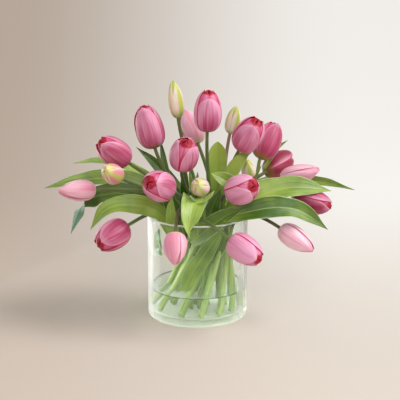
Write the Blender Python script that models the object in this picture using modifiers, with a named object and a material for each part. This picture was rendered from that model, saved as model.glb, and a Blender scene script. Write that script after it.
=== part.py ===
"""Tulips in a clear glass cylinder vase, part filled with water.

Run it with: blender --background --python part.py, or from Blender's text editor.

Frame: metres, +Z up, origin at the centre of the vase's underside. +X is the viewer's right, and
-Y faces the viewer. The tables of tulips and leaves are in millimetres and degrees.

A tulip is two pieces, a bloom and its stem. The stems are placed as a hand-tied spiral, which
crosses at a waist in the vase's mouth, and are then eased apart, so that no two touch. The leaves
are eased off the stems, the blooms and the glass in the same way.
"""

import math
from collections import namedtuple

import bmesh
import bpy
import numpy as np
from mathutils import Vector

MM = 0.001
GAP = 0.4
NECK_GAP = 0.6

# The vase: a straight glass cylinder with a thick foot.
VASE_RADIUS = 75.0
VASE_HEIGHT = 155.0
VASE_WALL = 4.0
VASE_FLOOR = 10.0
FOOT_ROUND = 4.5
INNER_ROUND = 8.0
VASE_SIDES = 40
CORNER_STEPS = 3
RIM_STEPS = 4
WATER_LEVEL = 44.0

# The spiral: each ring of stems crosses the waist at its own radius, and stands at another. From
# the foot a stem turns round the bunch to the waist, and turns again on its way to the bloom.
WAIST = np.array((18.0, 2.0, 114.0))
WAIST_RADII = (9.0, 20.0, 31.0)
FOOT_RADII = (16.0, 36.0, 58.0)
FOOT_TURN_DEG = 32.0
HEAD_TURN_DEG = 45.0
EVENNESS = 0.65
RISING_REACH = 0.36

# A stem tapers from its foot to its neck. Its line has many points, and its tube draws a few.
FOOT_RADIUS = 4.9
NECK_RADIUS = 2.5
TAPER = 1.3
FOOT_LIFT = 0.6 * FOOT_RADIUS
STEM_POINTS = 61
STEM_RINGS = 15
TUBE_SIDES = 6
BEND_WEIGHT = 60.0

# The holes that the stems leave in the water.
HOLE_REACH = 0.6
HOLE_MARGIN = 1.0

LEAF_ROWS = 25
LEAF_COLUMNS = 5
LEAF_RINGS = 9
LEAF_THICKNESS = 1.1
LEAF_CUP = 0.3

# How stems and leaves are eased apart, in millimetres. In each round a point takes up this share
# of its shortfall, and its neighbours along the stem or leaf share its step.
STEM_CLEARANCE = 1.3
LEAF_CLEARANCE = 1.6
ROUNDS = 240
STRIDE = 0.6
OWN_SHARE = 0.3
STEM_SPREAD = 5
LEAF_SPREAD = (2, 1)
HELD_POINTS = 6.0
RIM_LIFT = 3.0
NEAREST = 0.01

COLOURS = {
    "glass": ((0.93, 0.97, 0.95), 0.05),
    "water": ((0.85, 0.93, 0.90), 0.05),
    "petal": ((0.80, 0.32, 0.45), 0.45),
    "pale_petal": ((0.93, 0.60, 0.66), 0.45),
    "green_bud": ((0.78, 0.82, 0.45), 0.45),
    "stem": ((0.33, 0.45, 0.20), 0.50),
    "leaf": ((0.27, 0.42, 0.13), 0.50),
}

# neck: where the stem meets the bloom. turn: the way the bloom points, in degrees anticlockwise
# from +X, and rise: its angle above the horizon. ring: where its stem crosses the waist, 0 inmost.
# arch: how far back from the bloom its stem still heads the same way, as a share of its reach.
Tulip = namedtuple("Tulip", "neck turn rise length girth finish ring arch")
TULIPS = (
    Tulip((-29, 15, 297), -141, 81, 58, 22, "green_bud", 1, 0.42),
    Tulip((-63, 5, 253), 153, 73, 68, 42, "petal", 1, 0.42),
    Tulip((0, 55, 251), 124, 51, 60, 38, "petal", 1, 0.42),
    Tulip((14, 0, 279), -55, 86, 64, 41, "petal", 0, 0.42),
    Tulip((49, 45, 269), -63, 66, 48, 22, "green_bud", 1, 0.42),
    Tulip((-23, -30, 233), -77, 52, 58, 42, "petal", 0, 0.42),
    Tulip((62, -20, 258), -46, 53, 60, 42, "petal", 1, 0.42),
    Tulip((93, 15, 236), 48, 53, 62, 40, "petal", 1, 0.42),
    Tulip((104, 44, 209), 42, 14, 58, 36, "petal", 2, 0.42),
    Tulip((125, 25, 203), -14, 16, 62, 30, "pale_petal", 2, 0.42),
    Tulip((141, -5, 183), -20, -11, 62, 37, "petal", 2, 0.5),
    Tulip((121, -35, 142), -31, -26, 62, 33, "pale_petal", 2, 0.9),
    Tulip((46, -92, 141), -33, -25, 58, 40, "petal", 2, 1.2),
    Tulip((-31, -98, 153), -92, -62, 48, 34, "pale_petal", 2, 0.75),
    Tulip((-103, -55, 150), -137, -19, 58, 42, "petal", 2, 0.9),
    Tulip((-150, -20, 196), -158, 3, 57, 31, "pale_petal", 2, 0.42),
    Tulip((-115, -40, 220), -109, 24, 50, 29, "green_bud", 2, 0.42),
    Tulip((-103, -10, 236), -147, 38, 60, 41, "petal", 1, 0.42),
    Tulip((-43, -50, 204), -119, 22, 58, 44, "petal", 0, 0.42),
    Tulip((6, -45, 203), -99, 23, 40, 27, "green_bud", 0, 0.42),
    Tulip((48, -45, 198), -52, 21, 58, 43, "petal", 0, 0.42),
    Tulip((78, 14, 206), -103, 52, 42, 21, "green_bud", 2, 0.42),
)

# A bloom's outline, as shares of its length and of half its girth, from the stem to the tip. An
# open bloom ends in a flat mouth. The beads are the spheres that fill a bloom.
CLOSED_BLOOM = ((0, 0.24), (0.04, 0.52), (0.14, 0.84), (0.34, 1), (0.58, 0.94), (0.82, 0.62), (0.97, 0.2))
OPEN_BLOOM = ((0, 0.24), (0.04, 0.54), (0.14, 0.86), (0.34, 1), (0.62, 0.92), (0.88, 0.7), (1, 0.5))
BLOOM_SIDES = 10
BEAD_SHARES = (0.08, 0.2, 0.34, 0.5, 0.66, 0.82, 0.94)

# spine: the leaf's midrib from its base to its tip. faces: the way that its upper side looks.
Leaf = namedtuple("Leaf", "name spine width faces")
LEAVES = (
    Leaf("left_long", ((-33, 42, 140), (-61, 50, 172), (-103, 48, 194), (-142, 40, 200), (-185, 26, 198),
                       (-226, 10, 192)),
         31, (0.2, -0.8, 1)),
    Leaf("left_dark", ((-46, 18, 134), (-69, 19, 165), (-111, 17, 182), (-151, 12, 179), (-174, 4, 165),
                       (-188, -6, 129)),
         34, (-0.2, -1.1, 1)),
    Leaf("left_twist", ((-39, -24, 129), (-55, -33, 159), (-76, -42, 175), (-111, -47, 180), (-136, -50, 172),
                        (-153, -52, 148)),
         31, (0, -1.1, 1)),
    Leaf("left_small", ((-31, 62, 151), (-62, 70, 180), (-106, 68, 211), (-149, 54, 224), (-184, 42, 223)),
         20, (0, -0.8, 1)),
    Leaf("front_fold", ((-3, -30, 167), (-3, -44, 183), (-4, -68, 193), (-9, -91, 178), (-16, -103, 152)),
         38, (0, -1, 0.5)),
    Leaf("behind_narrow", ((2, 37, 140), (-26, 48, 172), (-50, 54, 202), (-72, 54, 226), (-90, 50, 243)),
         22, (0.4, -1, 0.4)),
    Leaf("centre_dark", ((-24, -4, 120), (-22, -4, 160), (-20, -4, 200), (-20, -4, 222), (-20, -4, 236)),
         16, (0.3, -1, 0)),
    Leaf("centre_broad", ((24, 12, 121), (28, 12, 170), (29, 12, 214), (30, 10, 241), (30, 8, 258)),
         30, (-0.1, -1, 0.1)),
    Leaf("centre_slant", ((38, -14, 184), (43, -14, 203), (55, -16, 228), (71, -17, 254), (85, -17, 266)),
         23, (-0.5, -1, 0.5)),
    Leaf("right_big", ((44, -24, 156), (56, -28, 169), (72, -31, 182), (98, -32, 194), (146, -28, 202),
                       (192, -16, 194)),
         39, (0, -1.2, 1)),
    Leaf("right_low", ((34, -54, 158), (48, -57, 165), (66, -58, 172), (94, -58, 177), (122, -54, 178),
                       (152, -47, 170), (187, -38, 143)),
         33, (0, -1.5, 1)),
    Leaf("right_thin", ((34, 36, 120), (54, 56, 156), (85, 78, 173), (134, 100, 182), (188, 74, 187),
                        (236, 36, 183)),
         24, (0, -1, 1)),
    Leaf("in_vase_front", ((-20, -50, 50), (-8, -53, 78), (8, -55, 104), (24, -55, 128), (36, -54, 146)),
         25, (0.1, -1, 0)),
    Leaf("in_vase_left", ((-54, -22, 96), (-56, -23, 107), (-57, -24, 118), (-57, -25, 129), (-56, -26, 140)),
         20, (-0.8, -0.6, 0)),
)


def clear_scene():
    """Remove every object, so that the script runs the same from any file."""
    for item in list(bpy.data.objects):
        bpy.data.objects.remove(item, do_unlink=True)


def collection(name):
    """A new collection in the scene."""
    group = bpy.data.collections.new(name)
    bpy.context.scene.collection.children.link(group)
    return group


def material(name):
    """The named finish, made once."""
    if name in bpy.data.materials:
        return bpy.data.materials[name]
    colour, roughness = COLOURS[name]
    made = bpy.data.materials.new(name)
    made.use_nodes = True
    shader = made.node_tree.nodes["Principled BSDF"]
    shader.inputs["Base Color"].default_value = (*colour, 1.0)
    shader.inputs["Roughness"].default_value = roughness
    shader.inputs["Metallic"].default_value = 0.0
    return made


def add(name, data, finish, group):
    """Link a mesh or a curve as one named piece."""
    piece = bpy.data.objects.new(name, data)
    data.materials.append(material(finish))
    group.objects.link(piece)
    return piece


def arc(centre, radius, start, end, steps):
    """Outline points along an arc, in degrees, with both ends."""
    angles = [math.radians(start + (end - start) * i / steps) for i in range(steps + 1)]
    return [(centre[0] + radius * math.cos(a), centre[1] + radius * math.sin(a)) for a in angles]


def turned(name, outline, sides, finish, group):
    """Spin an outline of (radius, height) points in millimetres round Z."""
    mesh = bpy.data.meshes.new(name)
    points = [(radius * MM, 0.0, height * MM) for radius, height in outline]
    mesh.from_pydata(points, [(i, i + 1) for i in range(len(points) - 1)], [])
    piece = add(name, mesh, finish, group)
    screw = piece.modifiers.new("turn", "SCREW")
    screw.steps = sides
    screw.render_steps = sides
    screw.use_merge_vertices = True
    screw.merge_threshold = 0.00005
    screw.use_smooth_shade = True
    return piece


def direction(turn, rise):
    """The unit vector at an angle from +X and an angle above the horizon, in degrees."""
    turn, rise = math.radians(turn), math.radians(rise)
    return np.array((math.cos(turn) * math.cos(rise), math.sin(turn) * math.cos(rise), math.sin(rise)))


def resample(points, count):
    """The same line, with its points spread evenly."""
    steps = np.linalg.norm(np.diff(points, axis=0), axis=1)
    along = np.concatenate(([0.0], np.cumsum(steps)))
    wanted = np.linspace(0.0, along[-1], count)
    return np.stack([np.interp(wanted, along, points[:, axis]) for axis in range(3)], axis=1)


def bezier(start, start_handle, end_handle, end, count):
    """Points along a cubic Bezier curve."""
    t = np.linspace(0.0, 1.0, count)[:, None]
    s = 1.0 - t
    return s**3 * start + 3 * s * s * t * start_handle + 3 * s * t * t * end_handle + t**3 * end


def smooth_line(points, count):
    """A Catmull-Rom curve through the points, with its own points spread evenly."""
    points = np.array(points, float)
    ends = np.vstack((2 * points[0] - points[1], points, 2 * points[-1] - points[-2]))
    spans = []
    for a, b, c, d in zip(ends, ends[1:], ends[2:], ends[3:]):
        spans.append(bezier(b, b + (c - a) / 6, c - (d - b) / 6, c, LEAF_ROWS))
    return resample(np.vstack(spans), count)


def waist_headings():
    """Where each stem crosses the waist, in radians round it: spread evenly within each ring."""
    own = [math.atan2(t.neck[1] - WAIST[1], t.neck[0] - WAIST[0]) for t in TULIPS]
    headings = np.array(own)
    for ring in range(len(WAIST_RADII)):
        members = sorted((i for i, t in enumerate(TULIPS) if t.ring == ring), key=lambda i: own[i])
        even = 2.0 * math.pi * np.arange(len(members)) / len(members)
        even += np.mean([own[i] for i in members]) - even.mean()
        for place, i in enumerate(members):
            headings[i] += EVENNESS * (even[place] - own[i])
    return headings - math.radians(HEAD_TURN_DEG)


def around(radius, heading):
    """A level step of this length in millimetres and this heading in radians."""
    return radius * np.array((math.cos(heading), math.sin(heading), 0.0))


def stem_line(tulip, heading):
    """A stem's centre line from its foot, past the waist, to its bloom."""
    neck = np.array(tulip.neck, float)
    waist = WAIST + around(WAIST_RADII[tulip.ring], heading)
    foot = around(FOOT_RADII[tulip.ring], heading - math.radians(FOOT_TURN_DEG))
    foot[2] = VASE_FLOOR + FOOT_LIFT
    rising = (waist - foot) / np.linalg.norm(waist - foot)
    reach = np.linalg.norm(neck - waist)
    pointing = direction(tulip.turn, tulip.rise)
    start_handle = waist + RISING_REACH * reach * rising
    end_handle = neck - tulip.arch * reach * pointing
    upper = bezier(waist, start_handle, end_handle, neck - NECK_GAP * pointing, STEM_POINTS)
    return resample(np.vstack((foot, upper)), STEM_POINTS)


def telling_points(line, count):
    """The indices of the points that draw a line best: evenly spread, and closer at its bends."""
    steps = np.diff(line, axis=0)
    lengths = np.linalg.norm(steps, axis=1)
    along = steps / lengths[:, None]
    bends = np.arccos(np.clip(np.einsum("ij,ij->i", along[1:], along[:-1]), -1.0, 1.0))
    cost = lengths + BEND_WEIGHT * (np.append(bends, 0.0) + np.insert(bends, 0, 0.0)) / 2.0
    total = np.insert(np.cumsum(cost), 0, 0.0)
    found = np.interp(np.linspace(0.0, total[-1], count), total, np.arange(len(line)))
    return sorted(set(np.round(found).astype(int)) | {len(line) - 2})


def stem_radii():
    """How thick a stem is at each point of its line."""
    return np.linspace(1.0, 0.0, STEM_POINTS) ** TAPER * (FOOT_RADIUS - NECK_RADIUS) + NECK_RADIUS


def stem_room():
    """The room that a stem needs at each point, which is wider in the water, around its hole."""
    return stem_radii() + HOLE_MARGIN * np.linspace(1.0, 0.0, STEM_POINTS) ** 3


def hole_radii():
    """How wide the hole in the water is. Its flat sides have to clear the stem's corners."""
    return (stem_radii() + GAP) / math.cos(math.pi / TUBE_SIDES)


def bloom_outline(tulip):
    """A bloom's outline as (height, radius) pairs, from its base to its tip."""
    shares = OPEN_BLOOM if tulip.finish == "petal" else CLOSED_BLOOM
    return [(height * tulip.length, radius * tulip.girth / 2) for height, radius in shares]


def bloom_beads(tulip):
    """Spheres that fill a bloom, as centres and radii."""
    neck, pointing = np.array(tulip.neck, float), direction(tulip.turn, tulip.rise)
    outline = bloom_outline(tulip)
    heights, radii = zip(*outline)
    centres, sizes = [], []
    for share in BEAD_SHARES:
        centres.append(neck + share * tulip.length * pointing)
        sizes.append(float(np.interp(share * tulip.length, heights, radii)))
    return np.array(centres), np.array(sizes)


def shortfall(points, radii, owners, beads, bead_radii, bead_owners, clearance):
    """The step that takes each point clear of the beads of other owners."""
    reach = radii[:, None] + bead_radii[None] + clearance
    square = (points**2).sum(1)[:, None] + (beads**2).sum(1)[None] - 2.0 * points @ beads.T
    near, bead = np.nonzero((square < reach**2) & (owners[:, None] != bead_owners[None]))
    apart = points[near] - beads[bead]
    distance = np.maximum(np.linalg.norm(apart, axis=1), NEAREST)
    steps = np.zeros_like(points)
    np.add.at(steps, near, apart * (reach[near, bead] / distance - 1.0)[:, None])
    return steps / np.maximum(1, np.bincount(near, minlength=len(points)))[:, None]


def off_the_glass(points, radii, clearance):
    """The step that takes each point clear of the vase's wall."""
    middle = VASE_RADIUS - VASE_WALL / 2
    across = np.hypot(points[:, 0], points[:, 1])
    out = across - middle
    up = np.maximum(points[:, 2] - (VASE_HEIGHT - VASE_WALL / 2), 0.0)
    distance = np.hypot(out, up)
    short = np.clip(VASE_WALL / 2 + radii + clearance - distance, 0.0, None)
    short /= np.maximum(distance, NEAREST)
    steps = np.zeros_like(points)
    steps[:, :2] = points[:, :2] * (short * out / np.maximum(across, NEAREST))[:, None]
    steps[:, 2] = short * up
    return steps


def over_the_rim(lines, radii, clearance):
    """The step that lifts each line where it would pass through the vase's wall below the rim."""
    outside = np.hypot(lines[..., 0], lines[..., 1]) > VASE_RADIUS - VASE_WALL / 2
    crossing = np.zeros(outside.shape, bool)
    crossing[:, 1:] = outside[:, 1:] & ~outside[:, :-1]
    crossing[:, :-1] |= crossing[:, 1:]
    short = VASE_HEIGHT + radii + clearance - lines[..., 2]
    steps = np.zeros_like(lines)
    steps[..., 2] = np.where(crossing, np.clip(short, 0.0, None), 0.0) * RIM_LIFT
    return steps


def off_the_stems(sheet, lines, radii):
    """The step that takes a leaf's sheet off every stem, each on the side where most of it lies."""
    down, right = np.gradient(sheet, axis=0), np.gradient(sheet, axis=1)
    normals = np.cross(down, right).reshape(-1, 3)
    normals /= np.maximum(np.linalg.norm(normals, axis=1), NEAREST)[:, None]
    points = sheet.reshape(-1, 3)
    steps = np.zeros_like(points)
    reach = radii + LEAF_THICKNESS / 2 + LEAF_CLEARANCE
    for line in lines:
        apart = points[:, None] - line[None]
        touching = np.einsum("ijk,ijk->ij", apart, apart) < (reach[None] + LEAF_THICKNESS) ** 2
        if not touching.any():
            continue
        offset = np.einsum("ijk,ik->ij", apart, normals)
        side = 1.0 if offset[touching].sum() > 0.0 else -1.0
        short = np.where(touching, reach[None] - side * offset, 0.0).max(axis=1)
        steps += side * np.clip(short, 0.0, None)[:, None] * normals
    return steps.reshape(sheet.shape)


def blur(steps, axis, spread):
    """Share each step with its neighbours along one axis, so that a line bends and doesn't kink."""
    tail = 2 * spread
    weights = np.exp(-0.5 * (np.arange(-tail, tail + 1) / spread) ** 2)
    weights /= weights.sum()
    moved = np.moveaxis(steps, axis, 0)
    padded = np.concatenate((np.repeat(moved[:1], tail, 0), moved, np.repeat(moved[-1:], tail, 0)))
    shared = sum(weight * padded[i : i + len(moved)] for i, weight in enumerate(weights))
    return np.moveaxis(shared, 0, axis)


def all_bloom_beads():
    """The spheres that fill every bloom, with the index of the tulip that each belongs to."""
    beads = [bloom_beads(tulip) for tulip in TULIPS]
    centres = np.vstack([found[0] for found in beads])
    sizes = np.concatenate([found[1] for found in beads])
    return centres, sizes, np.repeat(np.arange(len(TULIPS)), len(BEAD_SHARES))


def eased_stems():
    """Every stem's centre line, eased apart and clear of the other tulips' blooms and of the glass."""
    lines = np.array([stem_line(*pair) for pair in zip(TULIPS, waist_headings())])
    count = len(TULIPS)
    radii = np.tile(stem_room(), count)
    owners = np.repeat(np.arange(count), STEM_POINTS)
    bloom_centres, bloom_radii, bloom_owners = all_bloom_beads()
    bead_radii = np.concatenate((radii, bloom_radii))
    bead_owners = np.concatenate((owners, bloom_owners))
    hold = np.clip((STEM_POINTS - 1 - np.arange(STEM_POINTS)) / HELD_POINTS, 0.0, 1.0)
    for _ in range(ROUNDS):
        points = lines.reshape(-1, 3)
        beads = np.vstack((points, bloom_centres))
        steps = shortfall(points, radii, owners, beads, bead_radii, bead_owners, STEM_CLEARANCE)
        steps += off_the_glass(points, radii, STEM_CLEARANCE)
        steps = steps.reshape(lines.shape) + over_the_rim(lines, stem_room(), STEM_CLEARANCE)
        steps = STRIDE * (OWN_SHARE * steps + blur(steps, 1, STEM_SPREAD)) * hold[None, :, None]
        steps[:, 0, 2] = 0.0
        lines = lines + steps
    return np.array([resample(line, STEM_POINTS) for line in lines])


def tube(name, points, radii):
    """A curve through the points, as thick as each radius, with closed ends. All in millimetres."""
    curve = bpy.data.curves.new(name, "CURVE")
    curve.dimensions = "3D"
    curve.bevel_depth = MM
    curve.bevel_resolution = TUBE_SIDES // 2 - 2
    curve.use_fill_caps = True
    spline = curve.splines.new("POLY")
    spline.points.add(len(points) - 1)
    for target, point, radius in zip(spline.points, points, radii):
        target.co = (*(point * MM), 1.0)
        target.radius = radius
    return curve


def add_stem(name, line, group):
    """A tapered stem along its line."""
    kept = telling_points(line, STEM_RINGS)
    return add(name, tube(name, line[kept], stem_radii()[kept]), "stem", group)


def add_bloom(name, tulip, group):
    """A bloom as one turned solid, with its base at the neck."""
    outline = [(radius, height) for height, radius in bloom_outline(tulip)]
    outline = [(0.0, 0.0)] + outline + [(0.0, tulip.length)]
    bloom = turned(name, outline[::-1], BLOOM_SIDES, tulip.finish, group)
    pointing = Vector(direction(tulip.turn, tulip.rise))
    bloom.rotation_euler = pointing.to_track_quat("Z", "Y").to_euler()
    bloom.location = Vector(tulip.neck) * MM
    return bloom


def leaf_sheet(leaf):
    """A leaf's middle surface as rows of points across it: broad below the middle, and cupped."""
    spine = smooth_line(leaf.spine, LEAF_ROWS)
    along = np.gradient(spine, axis=0)
    along /= np.linalg.norm(along, axis=1)[:, None]
    across = np.cross(along, np.array(leaf.faces, float))
    across /= np.linalg.norm(across, axis=1)[:, None]
    normal = np.cross(across, along)
    t = np.linspace(0.0, 1.0, LEAF_ROWS)
    half = 0.5 * leaf.width * np.sin(np.pi * (0.13 + 0.83 * t) ** 0.9) ** 0.7
    side = np.linspace(-1.0, 1.0, LEAF_COLUMNS)
    sheet = spine[:, None] + (half[:, None] * side)[..., None] * across[:, None]
    return sheet + (LEAF_CUP * half[:, None] * side**2)[..., None] * normal[:, None]


def eased_leaves(lines):
    """Every leaf's middle surface, eased off the stems, the blooms, the glass and each other."""
    sheets = np.array([leaf_sheet(leaf) for leaf in LEAVES])
    owners = np.repeat(np.arange(len(LEAVES)), LEAF_ROWS * LEAF_COLUMNS)
    radii = np.full(len(owners), LEAF_THICKNESS / 2)
    fixed, fixed_radii, fixed_owners = all_bloom_beads()
    fixed_owners = fixed_owners - len(TULIPS)
    for _ in range(ROUNDS):
        points = sheets.reshape(-1, 3)
        steps = shortfall(points, radii, owners, fixed, fixed_radii, fixed_owners, LEAF_CLEARANCE)
        steps += 0.5 * shortfall(points, radii, owners, points, radii, owners, 2 * LEAF_CLEARANCE)
        steps += off_the_glass(points, radii, LEAF_CLEARANCE)
        columns = np.moveaxis(sheets, 2, 1).reshape(-1, LEAF_ROWS, 3)
        lifts = over_the_rim(columns, np.full(LEAF_ROWS, LEAF_THICKNESS / 2), LEAF_CLEARANCE)
        lifts = np.moveaxis(lifts.reshape(len(LEAVES), LEAF_COLUMNS, LEAF_ROWS, 3), 1, 2)
        steps = steps.reshape(sheets.shape) + lifts
        steps += np.array([off_the_stems(sheet, lines, stem_radii()) for sheet in sheets])
        shared = blur(blur(steps, 1, LEAF_SPREAD[0]), 2, LEAF_SPREAD[1])
        sheets = sheets + STRIDE * (OWN_SHARE * steps + shared)
    return sheets


def add_leaf(name, sheet, group):
    """A leaf as a thin shell on its middle surface."""
    rows = sheet[telling_points(sheet[:, LEAF_COLUMNS // 2], LEAF_RINGS)]
    sides = LEAF_COLUMNS - 1
    shape = bmesh.new()
    bmesh.ops.create_grid(shape, x_segments=sides, y_segments=len(rows) - 1, size=1.0)
    for vertex in shape.verts:
        column = round((vertex.co.x + 1.0) / 2.0 * sides)
        row = round((vertex.co.y + 1.0) / 2.0 * (len(rows) - 1))
        vertex.co = Vector(rows[row, column]) * MM
    mesh = bpy.data.meshes.new(name)
    shape.to_mesh(mesh)
    shape.free()
    mesh.shade_smooth()
    leaf = add(name, mesh, "leaf", group)
    shell = leaf.modifiers.new("thickness", "SOLIDIFY")
    shell.thickness = LEAF_THICKNESS * MM
    shell.offset = 0.0
    return leaf


def add_vase(group):
    """The glass: one turned wall and foot, with a rounded rim and rounded corners."""
    rim = VASE_WALL / 2
    inner = VASE_RADIUS - VASE_WALL
    outline = [(0.0, VASE_FLOOR)]
    outline += arc((inner - INNER_ROUND, VASE_FLOOR + INNER_ROUND), INNER_ROUND, 270, 360, CORNER_STEPS)
    outline += arc((VASE_RADIUS - rim, VASE_HEIGHT - rim), rim, 180, 0, RIM_STEPS)
    outline += arc((VASE_RADIUS - FOOT_ROUND, FOOT_ROUND), FOOT_ROUND, 0, -90, CORNER_STEPS)
    outline += [(0.0, 0.0)]
    return turned("vase", outline, VASE_SIDES, "glass", group)


def add_hole(name, line, group):
    """The way that one stem leaves through the water, from under the floor to above the level."""
    kept = telling_points(line, STEM_RINGS)
    above = [i for i in kept if line[i][2] > WATER_LEVEL + FOOT_RADIUS]
    kept = kept[: kept.index(above[0]) + 1]
    points = line[kept]
    points[0] -= HOLE_REACH * (points[1] - points[0])
    curve = tube(name, points, hole_radii()[kept])
    guide = bpy.data.objects.new(name, curve)
    group.objects.link(guide)
    bpy.context.view_layer.update()
    graph = bpy.context.evaluated_depsgraph_get()
    mesh = bpy.data.meshes.new_from_object(guide.evaluated_get(graph))
    bpy.data.objects.remove(guide, do_unlink=True)
    shape = bmesh.new()
    shape.from_mesh(mesh)
    bmesh.ops.remove_doubles(shape, verts=shape.verts, dist=0.00001)
    shape.to_mesh(mesh)
    shape.free()
    hole = bpy.data.objects.new(name, mesh)
    hole.hide_render = True
    hole.display_type = "WIRE"
    group.objects.link(hole)
    return hole


def add_water(lines, group, cutters):
    """The water: it fills the vase to its level, and is open where each stem stands in it."""
    radius = VASE_RADIUS - VASE_WALL - GAP
    floor = VASE_FLOOR + GAP
    outline = [(0.0, WATER_LEVEL), (radius, WATER_LEVEL)]
    outline += arc((radius - INNER_ROUND, floor + INNER_ROUND), INNER_ROUND, 0, -90, CORNER_STEPS)
    outline += [(0.0, floor)]
    water = turned("water", outline, VASE_SIDES, "water", group)
    for index, line in enumerate(lines, start=1):
        add_hole(f"stem_hole_{index:02d}", line, cutters)
    cut = water.modifiers.new("stem_holes", "BOOLEAN")
    cut.operand_type = "COLLECTION"
    cut.collection = cutters
    cut.solver = "EXACT"
    return water


def main():
    """Build the vase, the water, the tulips and their leaves."""
    clear_scene()
    parts = collection("tulips_in_vase")
    cutters = collection("cutters")
    add_vase(parts)
    lines = eased_stems()
    for index, (tulip, line) in enumerate(zip(TULIPS, lines), start=1):
        add_stem(f"stem_{index:02d}", line, parts)
        add_bloom(f"bloom_{index:02d}", tulip, parts)
    for leaf, sheet in zip(LEAVES, eased_leaves(lines)):
        add_leaf(f"leaf_{leaf.name}", sheet, parts)
    add_water(lines, parts, cutters)


main()
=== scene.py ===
"""Looks of the tulips in a clear glass vase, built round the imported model.

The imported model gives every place: a bloom's seat, a stem's course and a leaf's sections are read
from its nodes. Each bloom is made petal by petal, each stem and leaf as one fine skin on its course,
and the vase and its water as turned bodies. Lengths are in metres and angles in degrees, and +Z is up.
"""

import logging
import math
from dataclasses import dataclass
from enum import Enum
from functools import cache
from typing import Protocol

import bmesh
import bpy
import numpy as np
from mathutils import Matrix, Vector

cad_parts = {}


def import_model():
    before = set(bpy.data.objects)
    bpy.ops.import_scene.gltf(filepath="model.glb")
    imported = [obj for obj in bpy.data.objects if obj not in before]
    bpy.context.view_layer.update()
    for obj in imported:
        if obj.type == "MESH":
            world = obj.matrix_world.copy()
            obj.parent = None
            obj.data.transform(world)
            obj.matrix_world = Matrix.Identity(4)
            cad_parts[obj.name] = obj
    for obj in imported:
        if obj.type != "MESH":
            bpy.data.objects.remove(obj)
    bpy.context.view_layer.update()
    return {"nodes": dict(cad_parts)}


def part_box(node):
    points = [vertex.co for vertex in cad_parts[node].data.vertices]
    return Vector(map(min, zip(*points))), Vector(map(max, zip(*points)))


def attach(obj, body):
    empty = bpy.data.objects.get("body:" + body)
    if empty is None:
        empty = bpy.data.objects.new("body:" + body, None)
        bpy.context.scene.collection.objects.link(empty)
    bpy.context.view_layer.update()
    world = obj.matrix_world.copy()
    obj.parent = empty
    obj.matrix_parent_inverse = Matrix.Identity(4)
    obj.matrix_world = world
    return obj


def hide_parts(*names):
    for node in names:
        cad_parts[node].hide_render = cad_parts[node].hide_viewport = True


LOG = logging.getLogger("tulips_in_vase")
MM = 0.001
WELD = 0.000002
SEED = 11
Colour = tuple[int, int, int]
Point = tuple[float, float, float]
Socket = bpy.types.NodeSocket
Material = bpy.types.Material


def shade(red: int, green: int, blue: int) -> tuple[float, float, float, float]:
    """Turns a display colour into the linear colour that a shader takes.

    Args:
        red: Red, from 0 to 255.
        green: Green, from 0 to 255.
        blue: Blue, from 0 to 255.

    Returns:
        The linear colour with full opacity.
    """
    shares = [channel / 255.0 for channel in (red, green, blue)]
    linear = [s / 12.92 if s <= 0.04045 else ((s + 0.055) / 1.055) ** 2.4 for s in shares]
    return (linear[0], linear[1], linear[2], 1.0)


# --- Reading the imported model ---


@dataclass(frozen=True)
class Course:
    """A long thin piece as sections across it, one row for each, from its root to its tip.

    Attributes:
        centres: The middle of each section.
        across: The unit vector from the middle to the right edge.
        up: The unit vector that the upper side faces.
        half: Half the width of each section.
    """

    centres: np.ndarray
    across: np.ndarray
    up: np.ndarray
    half: np.ndarray

    @property
    def along(self) -> np.ndarray:
        """How far each section is from the root, along the course."""
        return np.concatenate(([0.0], np.cumsum(np.linalg.norm(np.diff(self.centres, axis=0), axis=1))))

    def at(self, stations: np.ndarray) -> "Course":
        """Reads the course at other stations, which may run on past its ends.

        Args:
            stations: Distances from the root.

        Returns:
            The course with one section at each station.
        """
        place, along = self.along, np.asarray(stations, float)
        centres = run_on(along, place, self.centres)
        across = unit(between(along, place, self.across))
        up = unit(between(along, place, self.up))
        return Course(centres, across, up, between(along, place, self.half[:, None])[:, 0])


def unit(vectors: np.ndarray) -> np.ndarray:
    """The same vectors at length one."""
    return vectors / np.maximum(np.linalg.norm(vectors, axis=-1, keepdims=True), 1e-12)


def between(wanted: np.ndarray, known: np.ndarray, values: np.ndarray) -> np.ndarray:
    """Values read between known places, one column at a time, and held past the ends."""
    return np.stack([np.interp(wanted, known, column) for column in values.T], axis=1)


def run_on(wanted: np.ndarray, known: np.ndarray, values: np.ndarray) -> np.ndarray:
    """Values read between known places, which run straight on past the ends."""
    found = between(wanted, known, values)
    first = (values[1] - values[0]) / (known[1] - known[0])
    last = (values[-1] - values[-2]) / (known[-1] - known[-2])
    found += np.minimum(wanted - known[0], 0.0)[:, None] * first
    return found + np.maximum(wanted - known[-1], 0.0)[:, None] * last


def smoothed(rows: np.ndarray, passes: int) -> np.ndarray:
    """Rows eased towards their neighbours, with both ends held.

    Args:
        rows: One row for each section.
        passes: How many times each row moves half way to its neighbours' mean.

    Returns:
        The eased rows.
    """
    eased = rows.copy()
    for _ in range(passes):
        eased[1:-1] = 0.5 * eased[1:-1] + 0.25 * (eased[:-2] + eased[2:])
    return eased


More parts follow.
